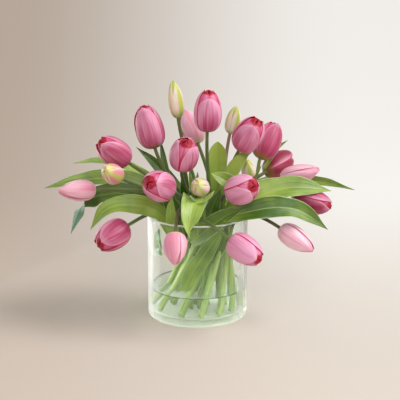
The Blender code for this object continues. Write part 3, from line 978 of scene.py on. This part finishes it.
def add_tube(
    shape: bmesh.types.BMesh, points: np.ndarray, radii: np.ndarray, sides: int, slant: float = 0.0
) -> None:
    """Adds a closed tube to a mesh, ring by ring, by extruding its end cap.

    Args:
        shape: The mesh that the tube joins.
        points: Its centre line.
        radii: Its radius at each point.
        sides: How many sides it has.
        slant: How steeply its first end is cut, as rise over width.
    """
    layer = shape.verts.layers.float_vector.get("skin") or shape.verts.layers.float_vector.new("skin")
    facing = unit(np.gradient(points, axis=0))
    first = unit(np.cross(facing[0], (0.3, 0.9, 0.2)))
    turns = np.linspace(0.0, 2.0 * np.pi, sides, endpoint=False)
    made = bmesh.ops.create_circle(shape, cap_ends=True, segments=sides, radius=1.0)
    ring = sorted(made["verts"], key=lambda vertex: math.atan2(vertex.co.y, vertex.co.x) % (2.0 * math.pi))
    cap = ring[0].link_faces[0]
    for row, (centre, radius) in enumerate(zip(points, radii)):
        if row:
            before = ring
            result = bmesh.ops.extrude_face_region(shape, geom=[cap])
            cap = next(item for item in result["geom"] if isinstance(item, bmesh.types.BMFace))
            joined = {}
            for vertex in cap.verts:
                for edge in vertex.link_edges:
                    other = edge.other_vert(vertex)
                    if other in before:
                        joined[other] = vertex
            ring = [joined[vertex] for vertex in before]
            if row == 1:
                # The first cap went with the extrusion, so the foot is closed again.
                bmesh.ops.contextual_create(shape, geom=before)
        first = unit(first - (first @ facing[row]) * facing[row])
        second = np.cross(facing[row], first)
        for vertex, turn in zip(ring, turns):
            out = math.cos(turn) * first + math.sin(turn) * second
            place = centre + radius * out
            if row == 0 and slant:
                place = place + slant * radius * (1.0 + math.cos(turn)) * facing[row]
            vertex.co = Vector(place)
            vertex[layer] = Vector((math.cos(turn), math.sin(turn), row / (len(points) - 1)))


@dataclass(frozen=True)
class Heart:
    """What is inside an open bloom: a pistil with a three-lobed tip, and six stamens round it."""

    seat: Seat

    SIDES = 12
    STEPS = 9
    FOOT = 0.06
    STALK = 0.0007

    PISTIL = PlainFinish("pistil", light=(206, 210, 140), deep=(168, 186, 92), grain=400.0, roughness=0.45)
    ANTHER = PlainFinish("anther", light=(92, 56, 62), deep=(40, 22, 34), grain=900.0, roughness=0.8)

    def build(self, name: str) -> None:
        """Builds the pistil and the stamens as one piece.

        Args:
            name: The tulip's name.
        """
        shape = bmesh.new()
        seat, (first, second) = self.seat, self.seat.sides()
        t = np.linspace(0.0, 1.0, self.STEPS)
        column = seat.base + (self.FOOT + 0.36 * t)[:, None] * seat.length * seat.axis
        add_tube(shape, column, seat.radius * (0.11 + 0.035 * np.sin(2.6 * t)), self.SIDES)
        for lobe in range(3):
            turn = math.radians(120.0 * lobe)
            out = math.cos(turn) * first + math.sin(turn) * second
            line = column[-1] - 0.001 * seat.axis
            line = line + np.outer(t, 0.20 * seat.radius * out + 0.0012 * seat.axis)
            add_tube(shape, line, seat.radius * (0.085 - 0.03 * t), 10)
        pistil_faces = len(shape.faces)
        for stamen in range(6):
            turn = math.radians(60.0 * stamen + 30.0)
            out = math.cos(turn) * first + math.sin(turn) * second
            foot = seat.base + self.FOOT * seat.length * seat.axis + 0.16 * seat.radius * out
            line = foot + np.outer(t, 0.22 * seat.length * seat.axis + 0.14 * seat.radius * out)
            add_tube(shape, line, np.full(self.STEPS, self.STALK), 8)
            anther = line[-1] + np.outer(t, 0.17 * seat.length * seat.axis + 0.03 * seat.radius * out)
            add_tube(shape, anther, 0.0004 + 0.0014 * np.sin(np.pi * (0.08 + 0.86 * t)), 10)
        shape.faces.ensure_lookup_table()
        for face in shape.faces[pistil_faces:]:
            face.material_index = 1
        finished(shape, f"{name}_pistil_and_stamens", (self.PISTIL, self.ANTHER))


TULIPS = (
    Tulip(1, Kind.BUD, 48.0, depth=0.5),
    Tulip(2, Kind.OPEN, -15.0, show=0.03, depth=0.55, lean=0.03),
    # Partly painted light: bloom 3 wears the pale pink so that it looks light though it sits in shade.
    Tulip(3, Kind.PALE, 10.0, depth=0.35),
    Tulip(4, Kind.OPEN, 5.0, show=0.03, depth=0.4, lean=0.14),
    Tulip(5, Kind.BUD, -75.0, depth=0.0, ground=Ground.ROSY),
    Tulip(6, Kind.OPEN, 50.0, show=0.07, depth=0.4, lean=0.08),
    Tulip(7, Kind.OPEN, -10.0, show=0.05, depth=0.5, lean=0.05),
    Tulip(8, Kind.OPEN, 20.0, show=0.02, depth=0.7),
    Tulip(9, Kind.OPEN, 40.0, show=0.02, depth=0.98, loose=(4, 0.3)),
    Tulip(10, Kind.PALE, 20.0, depth=0.5),
    Tulip(11, Kind.OPEN, 30.0, show=0.03, depth=0.78),
    Tulip(12, Kind.PALE, 0.0, depth=0.2, ground=Ground.BROWN),
    Tulip(13, Kind.OPEN, 0.0, show=0.08, depth=0.1),
    Tulip(14, Kind.PALE, 30.0, depth=0.6, ground=Ground.BROWN),
    Tulip(15, Kind.OPEN, 20.0, show=0.07, depth=0.72),
    Tulip(16, Kind.PALE, 20.0, depth=0.5),
    Tulip(17, Kind.BLUSH, 20.0, depth=0.9),
    Tulip(18, Kind.OPEN, 10.0, show=0.04, depth=0.72),
    Tulip(19, Kind.OPEN, 40.0, show=0.07, depth=0.5),
    Tulip(20, Kind.BLUSH, 10.0, depth=0.3),
    Tulip(21, Kind.OPEN, 20.0, show=0.07, depth=0.02, ground=Ground.BROWN),
    Tulip(22, Kind.BUD, 10.0, depth=0.2),
)


# --- The leaves ---

LEAF_UPPER = LeafFinish(
    "leaf_upper_side", dark=(56, 94, 6), light=(176, 204, 90), margin=(168, 190, 104), veins=22.0,
    roughness=0.36,
)
LEAF_UNDER = LeafFinish(
    "leaf_under_side", dark=(96, 142, 112), light=(174, 208, 176), margin=(170, 200, 152), veins=16.0,
    roughness=0.5,
)


@dataclass(frozen=True)
class Leaf:
    """One leaf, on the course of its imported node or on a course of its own.

    Attributes:
        name: The leaf's name.
        tone: How light its green is, from 0 to 1.
        course: Its sections from its base to its tip.
        replaced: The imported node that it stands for, or nothing for a small leaf of its own.
        wave: How much its margins wave, as a share of its half width.
        run_on: How far its tip runs on past its course.
        fullness: How broad it stays on the way to its tip, from 0 to 1.
        twist: How far it turns over on the way to its tip, in degrees.
    """

    name: str
    tone: float
    course: Course
    replaced: str = ""
    wave: float = 0.10
    run_on: float = 0.006
    fullness: float = 0.0
    twist: float = 0.0

    COLUMNS = 13
    STEP = 0.0035
    THICKNESS = 0.0009
    CUP = 0.3
    TWIST_FROM = 0.62
    TWIST_SPAN = 0.22
    SECTIONS = 26
    REACH = 0.024

    @classmethod
    def of(cls, node: str, packed: bpy.types.Object, tone: float) -> "Leaf":
        """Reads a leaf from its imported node.

        Args:
            node: The node's name.
            packed: The node.
            tone: How light its green is.

        Returns:
            The leaf.
        """
        course = Wire.of(packed).course(cls.SECTIONS, cls.REACH, True)
        full, twist = FULL_LEAVES.get(node, 0.0), TWISTED_LEAVES.get(node, 0.0)
        return cls(node.removeprefix("leaf_") + "_leaf", tone, course, node, fullness=full, twist=twist)

    def build(self) -> None:
        """Builds the leaf."""
        chance = np.random.default_rng(SEED + sum(map(ord, self.name)))
        reach = self.course.along[-1] + self.run_on
        rows = max(14, round(reach / self.STEP))
        along = np.linspace(0.0, reach, rows)
        fine = self.course.at(along)
        t = (along / reach)[:, None]
        side = np.linspace(-1.0, 1.0, self.COLUMNS)[None, :]
        half = smoothed(fine.half[:, None], 4)
        half = half.max() * (half / half.max()) ** (1.0 - self.fullness)
        taper_from = 0.76 + 0.16 * self.fullness
        taper = np.clip((t - taper_from) / (1.0 - taper_from), 0.0, 1.0)
        half = half * np.maximum((1.0 - taper**2.0) ** 0.8, 0.02)
        wave = self.wave * np.sin(along[:, None] / 0.009 + chance.uniform(0.0, 6.28) + 1.6 * side)
        lift = half * (self.CUP * np.abs(side) ** 1.5 + wave * side**2 * np.sin(np.pi * t))
        lift = lift - half * 0.05 * np.exp(-((side / 0.12) ** 2))
        turn = np.radians(self.twist) * np.clip((t - self.TWIST_FROM) / self.TWIST_SPAN, 0.0, 1.0)
        across = np.cos(turn) * fine.across + np.sin(turn) * fine.up
        up = np.cos(turn) * fine.up - np.sin(turn) * fine.across
        places = fine.centres[:, None] + (half * side)[..., None] * across[:, None]
        places = places + lift[..., None] * up[:, None]
        skin = np.stack(np.broadcast_arrays(side, t, self.tone), axis=-1)
        shape = bmesh.new()
        add_sheet(shape, places, skin)
        piece = finished(shape, self.name, (LEAF_UPPER, LEAF_UNDER))
        thicken(piece, self.THICKNESS)
        if self.replaced:
            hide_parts(self.replaced)
        LOG.info("%s: %.0f mm long", self.name, reach / MM)


LEAF_TONES = {
    "leaf_left_long": 0.42,
    "leaf_left_dark": 0.2,
    "leaf_left_twist": 0.55,
    "leaf_left_small": 0.55,
    "leaf_front_fold": 0.66,
    "leaf_behind_narrow": 0.15,
    "leaf_centre_dark": 0.15,
    # Partly painted light: raised past the full range so the leaf looks lit though it faces away from the
    # sun.
    "leaf_centre_broad": 1.15,
    "leaf_centre_slant": 0.85,
    "leaf_right_big": 0.56,
    "leaf_right_low": 0.16,
    "leaf_right_thin": 0.35,
    "leaf_in_vase_front": 0.3,
    "leaf_in_vase_left": 0.25,
}
FULL_LEAVES = {"leaf_centre_broad": 0.8}
TWISTED_LEAVES = {"leaf_left_dark": 170.0}


@dataclass(frozen=True)
class Sprig:
    """A small leaf that stands close among the others.

    Attributes:
        name: The leaf's name.
        spine: Its midrib from its base to its tip, in millimetres.
        width: How wide it is, in millimetres.
        faces: The way that its upper side looks.
        tone: How light its green is, from 0 to 1.
    """

    name: str
    spine: tuple[Point, ...]
    width: float
    faces: Point
    tone: float

    ROWS = 25

    def leaf(self) -> Leaf:
        """The sprig as a leaf, broad below its middle."""
        centres = smooth_line(self.spine, self.ROWS)
        along = unit(np.gradient(centres, axis=0))
        across = unit(np.cross(along, self.faces))
        t = np.linspace(0.0, 1.0, self.ROWS)
        half = 0.5 * self.width * MM * np.sin(np.pi * (0.15 + 0.81 * t) ** 0.9) ** 0.7
        course = Course(centres, across, unit(np.cross(across, along)), half)
        return Leaf(self.name, self.tone, course, run_on=0.0)


SPRIGS = (
    Sprig("upright_small_leaf", ((-33, -38, 126), (-37, -50, 150), (-39, -58, 174), (-37, -61, 196)),
          17, (0.2, -1, 0.3), 0.7),
    Sprig("narrow_back_leaf", ((-34, -4, 150), (-40, -6, 188), (-48, 8, 222), (-56, 22, 266)),
          12, (0, -1, 0.2), 0.2),
    Sprig("folded_top_leaf", ((62, -34, 190), (49, -38, 207), (35, -42, 218), (19, -44, 226)),
          25, (0.1, -1, 0.6), 0.6),
    Sprig("far_tip_leaf", ((100, 40, 215), (112, 44, 232), (122, 48, 246), (137, 50, 257)),
          7, (0, -1, 0.5), 0.5),
    Sprig("thin_right_leaf", ((70, 6, 165), (76, 10, 182), (85, 16, 206), (96, 22, 224)),
          9, (0, -1, 0.3), 0.4),
    Sprig("bract_left", ((-5, -36, 185), (-8, -38, 203), (-12, -40, 230)), 7, (0, -1, 0), 0.5),
    Sprig("bract_right", ((2, -32, 190), (0, -34, 208), (0, -36, 227)), 6, (0, -1, 0), 0.3),
    Sprig("upright_centre_leaf", ((5, -40, 128), (5, -50, 150), (6, -58, 172), (9, -62, 192)),
          13, (0.2, -1, 0), 0.4),
    Sprig("heart_dark_leaf", ((12, -22, 125), (16, -30, 150), (22, -36, 175), (34, -38, 202)),
          24, (0.1, -1, 0.1), 0.1),
    Sprig("heart_middle_leaf", ((-12, -20, 130), (-10, -22, 160), (-6, -24, 188), (-3, -24, 204)),
          28, (0, -1, 0.1), 0.0),
    Sprig("heart_left_leaf", ((-20, -18, 128), (-30, -24, 155), (-42, -28, 180), (-56, -30, 198)),
          26, (0.1, -1, 0.4), 0.1),
    Sprig("heart_right_leaf", ((40, -10, 130), (50, -14, 155), (60, -16, 180), (66, -14, 206)),
          24, (0.1, -1, 0.2), 0.15),
    Sprig("bud_collar_right", ((-4, -56, 186), (4, -74, 190), (14, -82, 197), (24, -84, 210)),
          14, (0, -0.4, 1), 0.8),
    Sprig("bud_collar_left", ((0, -56, 184), (-6, -70, 190), (-11, -82, 203)), 12, (0, -0.4, 1), 0.7),
    Sprig("low_right_sheath",
          ((-10, -38, 120), (6, -48, 136), (22, -55, 152), (42, -55, 166), (66, -60, 177)),
          27, (0, -1.5, 1), 0.2),
    Sprig("vase_back_leaf", ((16, 22, 66), (4, 18, 96), (-10, 12, 126), (-22, 4, 156)),
          32, (0.1, -1, 0), 0.15),
    Sprig("vase_right_leaf", ((18, -26, 86), (32, -30, 116), (44, -30, 146)), 22, (0.1, -1, 0), 0.2),
)


# --- The vase and its water ---


def corner(
    centre: tuple[float, float], radius: float, start: float, end: float, steps: int
) -> list[tuple[float, float]]:
    """Outline points along an arc, with both ends, at angles in degrees."""
    angles = [math.radians(start + (end - start) * i / steps) for i in range(steps + 1)]
    return [(centre[0] + radius * math.cos(a), centre[1] + radius * math.sin(a)) for a in angles]


def turned(
    name: str, outline: list[tuple[float, float]], steps: int, finishes: tuple[Finish, ...]
) -> bpy.types.Object:
    """Spins an outline of (radius, height) points round Z into one closed body.

    Args:
        name: The piece's name.
        outline: The points, whose first and last are on the axis.
        steps: How many steps the turn has.
        finishes: What it wears.

    Returns:
        The piece.
    """
    shape = bmesh.new()
    points = [shape.verts.new((radius, 0.0, height)) for radius, height in outline]
    edges = [shape.edges.new(pair) for pair in zip(points, points[1:])]
    bmesh.ops.spin(shape, geom=points + edges, cent=(0.0, 0.0, 0.0), axis=(0.0, 0.0, 1.0),
                   angle=2.0 * math.pi, steps=steps, use_merge=True)
    bmesh.ops.remove_doubles(shape, verts=shape.verts, dist=WELD)
    bmesh.ops.recalc_face_normals(shape, faces=shape.faces)
    return finished(shape, name, finishes)


@dataclass(frozen=True)
class Vase:
    """The glass cylinder and the water in it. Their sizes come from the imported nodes."""

    radius: float
    height: float
    inner: float
    floor: float
    level: float
    foot_round: float = 0.0045
    inner_round: float = 0.008
    meniscus: float = 0.0013
    steps: int = 144

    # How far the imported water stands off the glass, and how far the visible one reaches into it.
    PACKED_GAP = 0.0004
    OVERLAP = 0.00015
    # How far the rim's, the foot's and the water line's finish reach, by their own roundings.
    RIM_BAND = 1.5
    FOOT_BAND = 0.6
    LINE_BAND = 0.2
    MENISCUS_WIDTH = 0.006
    MENISCUS_SHARES = (0.0, 0.4, 0.7, 0.88, 1.0)

    # Painted light: white gleams on the rim and wall edges, and white scattered light in the foot and
    # water.
    GLASS = ClearFinish("clear_glass", tint=(250, 253, 251), shadow=(234, 240, 234), ior=1.22, painted_light=0.01,
                        edge_painted_light=0.34)
    RIM = ClearFinish("glass_rim", tint=(250, 253, 251), shadow=(244, 248, 246), ior=1.3, painted_light=0.45,
                      edge_painted_light=0.3)
    FOOT = ClearFinish("glass_foot", tint=(246, 250, 240), shadow=(250, 252, 248), ior=1.16, ripple=0.12,
                       painted_light=0.56, painted_light_colour=(244, 246, 238))
    WATER = ClearFinish("clear_water", tint=(250, 253, 248), shadow=(250, 252, 248), ior=1.14, painted_light=0.05)
    WATER_TOP = ClearFinish("water_top", tint=(250, 253, 248), shadow=(250, 252, 248), ior=1.14, painted_light=0.2,
                            painted_light_colour=(214, 222, 214))
    # Painted shade: the water line wears a dark grey tint and grey painted light, a painted dark line.
    WATER_LINE = ClearFinish("water_line", tint=(158, 174, 160), shadow=(240, 246, 240), ior=1.08,
                             painted_light=0.12, painted_light_colour=(170, 184, 172))

    @classmethod
    def of_frame(cls) -> "Vase":
        """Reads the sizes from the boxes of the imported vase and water."""
        low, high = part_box("vase")
        wet_low, wet_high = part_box("water")
        inner = (wet_high.x - wet_low.x) / 2.0 + cls.PACKED_GAP
        return cls((high.x - low.x) / 2.0, high.z, inner, wet_low.z - cls.PACKED_GAP, wet_high.z)

    def build(self) -> bpy.types.Object:
        """Builds the glass and the water.

        Returns:
            The glass.
        """
        rim = (self.radius - self.inner) / 2.0
        outline = [(0.0, self.floor)]
        outline += corner((self.inner - self.inner_round, self.floor + self.inner_round),
                          self.inner_round, 270.0, 360.0, 10)
        outline += corner((self.radius - rim, self.height - rim), rim, 180.0, 0.0, 12)
        outline += corner((self.radius - self.foot_round, self.foot_round), self.foot_round, 0.0, -90.0, 10)
        outline += [(0.0, 0.0)]
        glass = turned("glass_vase", outline, self.steps, (self.GLASS, self.RIM, self.FOOT))
        for face in glass.data.polygons:
            if face.center.z > self.height - self.RIM_BAND * rim:
                face.material_index = 1
            elif face.center.z < self.floor + self.FOOT_BAND * self.inner_round:
                face.material_index = 2
        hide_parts("vase")
        reach, low = self.inner + self.OVERLAP, self.floor - self.OVERLAP
        outline = [(0.0, self.level)]
        for share in self.MENISCUS_SHARES:
            across = reach - self.MENISCUS_WIDTH * (1.0 - share)
            outline.append((across, self.level + self.meniscus * share**2))
        outline.append((reach, self.level - self.meniscus / 4.0))
        outline += corner((reach - self.inner_round, low + self.inner_round),
                          self.inner_round, 0.0, -90.0, 10)
        outline += [(0.0, low)]
        water = turned("vase_water", outline, self.steps, (self.WATER, self.WATER_LINE, self.WATER_TOP))
        for face in water.data.polygons:
            if face.center.z > self.level + self.LINE_BAND * self.meniscus:
                face.material_index = 1
            elif face.center.z > self.level - self.meniscus / 8.0:
                face.material_index = 2
        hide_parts("water")
        LOG.info("vase %.0f mm across, water to %.0f mm", 2.0 * self.radius / MM, self.level / MM)
        return glass


# --- The studio ---


@dataclass(frozen=True)
class Lamp:
    """One soft lamp, which looks at a point of the bunch. It shows only as a gleam, unless it fills."""

    name: str
    place: Point
    width: float
    height: float
    power: float
    aim: Point = (0.0, 0.0, 0.17)
    fills: bool = False

    def build(self) -> bpy.types.Object:
        """Hangs the lamp, and returns it."""
        light = bpy.data.lights.new(self.name, "AREA")
        light.shape = "RECTANGLE"
        light.size = self.width
        light.size_y = self.height
        light.energy = self.power
        lamp = placed(self.name, light)
        lamp.location = self.place
        lamp.rotation_euler = (Vector(self.aim) - Vector(self.place)).to_track_quat("-Z", "Y").to_euler()
        lamp.visible_camera = False
        lamp.visible_diffuse = self.fills
        return lamp


@dataclass(frozen=True)
class Studio:
    """The pale floor, the lamps, the sky light and the camera."""

    lamps: tuple[Lamp, ...] = (
        Lamp("right_softbox", (1.3, -0.7, 1.1), 0.9, 0.9, 14.0),
        Lamp("front_softbox", (0.3, -1.4, 1.2), 1.0, 1.0, 9.0, fills=True),
        Lamp("left_card", (-0.30, 0.16, 0.16), 0.5, 0.3, 1.2, (0.0, 0.0, 0.1)),
    )
    glass_card: Lamp = Lamp("glass_card", (-0.9, -0.12, 0.25), 0.5, 0.5, 7.5, (0.0, 0.0, 0.1), True)
    sun_from: Point = (1.0, -0.12, 1.2)
    sun_strength: float = 2.1
    sun_angle: float = 34.0
    sun_colour: Point = (1.0, 0.985, 0.96)
    sky: tuple[float, float, float, float] = (1.0, 0.975, 0.945, 1.0)
    sky_strength: float = 0.5
    floor_radius: float = 9.0
    floor_drop: float = 0.0004
    # Painted shade on the floor's left and painted light on its right, each as a near and a far colour.
    painted_shade_floor_left: tuple[Colour, Colour] = ((196, 183, 171), (180, 166, 154))
    painted_light_floor_right: tuple[Colour, Colour] = ((212, 203, 193), (241, 240, 238))
    camera_place: Point = (0.0035, -1.6, 0.573)
    camera_pitch: float = -13.95
    camera_lens: float = 99.63
    camera_sensor: float = 36.0
    camera_reach: float = 60.0

    def build(self) -> None:
        """Builds the floor, the lamps, the sky light and the camera."""
        for lamp in self.lamps:
            lamp.build()
        light = bpy.data.lights.new("soft_sun", "SUN")
        light.energy = self.sun_strength
        light.angle = math.radians(self.sun_angle)
        light.color = self.sun_colour
        sun = placed("soft_sun", light)
        sun.rotation_euler = (-Vector(self.sun_from)).to_track_quat("-Z", "Y").to_euler()
        world = bpy.data.worlds.new("studio_sky")
        world.use_nodes = True
        background = world.node_tree.nodes["Background"]
        background.inputs["Color"].default_value = self.sky
        background.inputs["Strength"].default_value = self.sky_strength
        bpy.context.scene.world = world
        self.build_floor()
        lens = bpy.data.cameras.new("camera")
        lens.lens = self.camera_lens
        lens.sensor_width = self.camera_sensor
        lens.clip_end = self.camera_reach
        camera = placed("camera", lens)
        camera.location = self.camera_place
        camera.rotation_euler = (math.radians(90.0 + self.camera_pitch), 0.0, 0.0)
        bpy.context.scene.camera = camera
        bpy.context.scene.view_settings.view_transform = "Standard"

    def light_glass(self, glass: bpy.types.Object) -> None:
        """Hangs a card on the left that lights the glass alone."""
        receivers = bpy.data.collections.new("lit_glass")
        receivers.objects.link(glass)
        self.glass_card.build().light_linking.receiver_collection = receivers

    def build_floor(self) -> None:
        """Lays a round floor painted with light and shade.

        Painted shade makes it darker and browner on the left, and painted light paler on the right, in
        bands that fan out.
        """
        make = Recipe("studio_floor")
        place = make.node("SeparateXYZ", {0: make.node("TexCoord", {}).outputs["Object"]})
        across, depth = place.outputs[0], place.outputs[1]
        fan = make.maths("MAXIMUM", make.maths("MULTIPLY_ADD", depth, 0.45, 1.0), 0.4)
        # Painted light and shade: pale is the share of the lit right side, in bands that widen with
        # distance.
        pale = make.span(make.maths("DIVIDE", across, fan), -0.36, 0.28)
        far = make.span(depth, -0.4, 0.9)
        sides = []
        for near_colour, far_colour in (self.painted_shade_floor_left, self.painted_light_floor_right):
            sides.append(make.blend(far, shade(*near_colour), shade(*far_colour)))
        make.colour(make.blend(pale, *sides))
        make.set(Roughness=0.9, Specular_IOR_Level=0.1)
        shape = bmesh.new()
        bmesh.ops.create_circle(shape, cap_ends=True, segments=96, radius=self.floor_radius)
        bmesh.ops.translate(shape, verts=shape.verts, vec=(0.0, 0.0, -self.floor_drop))
        shown(shape, "studio_floor", [make.material])


def main() -> None:
    """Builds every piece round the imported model."""
    logging.basicConfig(level=logging.INFO, format="%(message)s")
    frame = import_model()
    studio = Studio()
    studio.build()
    studio.light_glass(Vase.of_frame().build())
    for tulip in TULIPS:
        tulip.build(frame["nodes"])
    for node, tone in LEAF_TONES.items():
        Leaf.of(node, frame["nodes"][node], tone).build()
    for sprig in SPRIGS:
        sprig.leaf().build()


if __name__ == "__main__":
    main()
